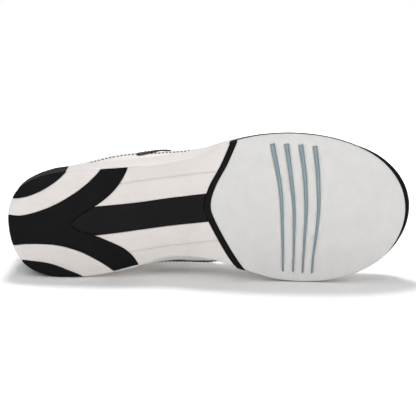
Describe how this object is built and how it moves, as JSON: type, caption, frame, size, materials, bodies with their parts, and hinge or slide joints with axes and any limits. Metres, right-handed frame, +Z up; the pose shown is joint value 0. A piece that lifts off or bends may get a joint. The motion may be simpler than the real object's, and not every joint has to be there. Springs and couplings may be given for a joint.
{
  "type": "bowling shoe",
  "caption": "Right bowling shoe with a smooth slide sole, forked heel inlay, waist bar, laced upper and a forefoot that flexes.",
  "frame": {"origin": "middle of the bounding box at the ground, with the shoe standing on its sole", "axes": "+X from heel to toe, +Y to the inner (medial) side, +Z up"},
  "size_m": [0.3022, 0.1132, 0.1119],
  "materials": {
    "white_rubber": "satin",
    "black_rubber": "satin",
    "bar_rubber": "satin",
    "slide_felt": "matt",
    "foam": "matt",
    "spring_steel": "satin",
    "fibre_board": "matt",
    "black_fabric": "matt",
    "white_leather": "satin",
    "black_leather": "satin",
    "white_webbing": "matt",
    "eyelet_metal": "satin",
    "lace_tip": "gloss"
  },
  "bodies": {
    "shoe": {"outsole_cup": "white_rubber", "heel_fork": "black_rubber", "heel_pad_outer": "black_rubber", "heel_pad_inner": "black_rubber", "waist_bar": "bar_rubber", "slide_base": "black_rubber", "slide_sole": "slide_felt", "midsole": "foam", "shank": "spring_steel", "insole_board": "fibre_board", "sock_liner": "black_fabric", "vamp": "white_leather", "vamp_lining": "black_fabric", "quarter_outer": "white_leather", "quarter_inner": "white_leather", "quarter_lining_outer": "black_fabric", "quarter_lining_inner": "black_fabric", "facing_outer": "white_leather", "facing_inner": "white_leather", "side_stripe_outer": "black_leather", "side_stripe_inner": "black_leather", "aglet_outer": "lace_tip", "aglet_inner": "lace_tip", "heel_counter": "fibre_board", "heel_overlay": "black_leather", "collar_pad": "black_fabric", "heel_loop": "black_fabric", "tongue": "white_leather", "lace": "white_webbing", "eyelet_outer_1": "eyelet_metal", "eyelet_outer_2": "eyelet_metal", "eyelet_outer_3": "eyelet_metal", "eyelet_outer_4": "eyelet_metal", "eyelet_outer_5": "eyelet_metal", "eyelet_outer_6": "eyelet_metal", "eyelet_inner_1": "eyelet_metal", "eyelet_inner_2": "eyelet_metal", "eyelet_inner_3": "eyelet_metal", "eyelet_inner_4": "eyelet_metal", "eyelet_inner_5": "eyelet_metal", "eyelet_inner_6": "eyelet_metal"},
    "toe": {"toe_cap": "white_leather", "toe_puff": "fibre_board", "toe_bumper": "black_rubber"},
    "tongue_top": {"tongue_label": "black_leather"}
  },
  "joints": [
    {"name": "toe_flex", "type": "hinge", "parent": "shoe", "child": "toe", "pos_m": [0.0639, 0, 0.004], "axis": [0, -1, 0], "range_deg": [0, 28], "stiffness_Nm_per_rad": 6, "deforming": ["outsole_cup", "slide_base", "slide_sole", "midsole", "insole_board", "sock_liner", "vamp", "vamp_lining"]},
    {"name": "tongue_flex", "type": "hinge", "parent": "shoe", "child": "tongue_top", "pos_m": [-0.0451, 0, 0.1075], "axis": [0, 1, 0], "range_deg": [0, 40], "stiffness_Nm_per_rad": 0.02, "deforming": ["tongue"]}
  ]
}
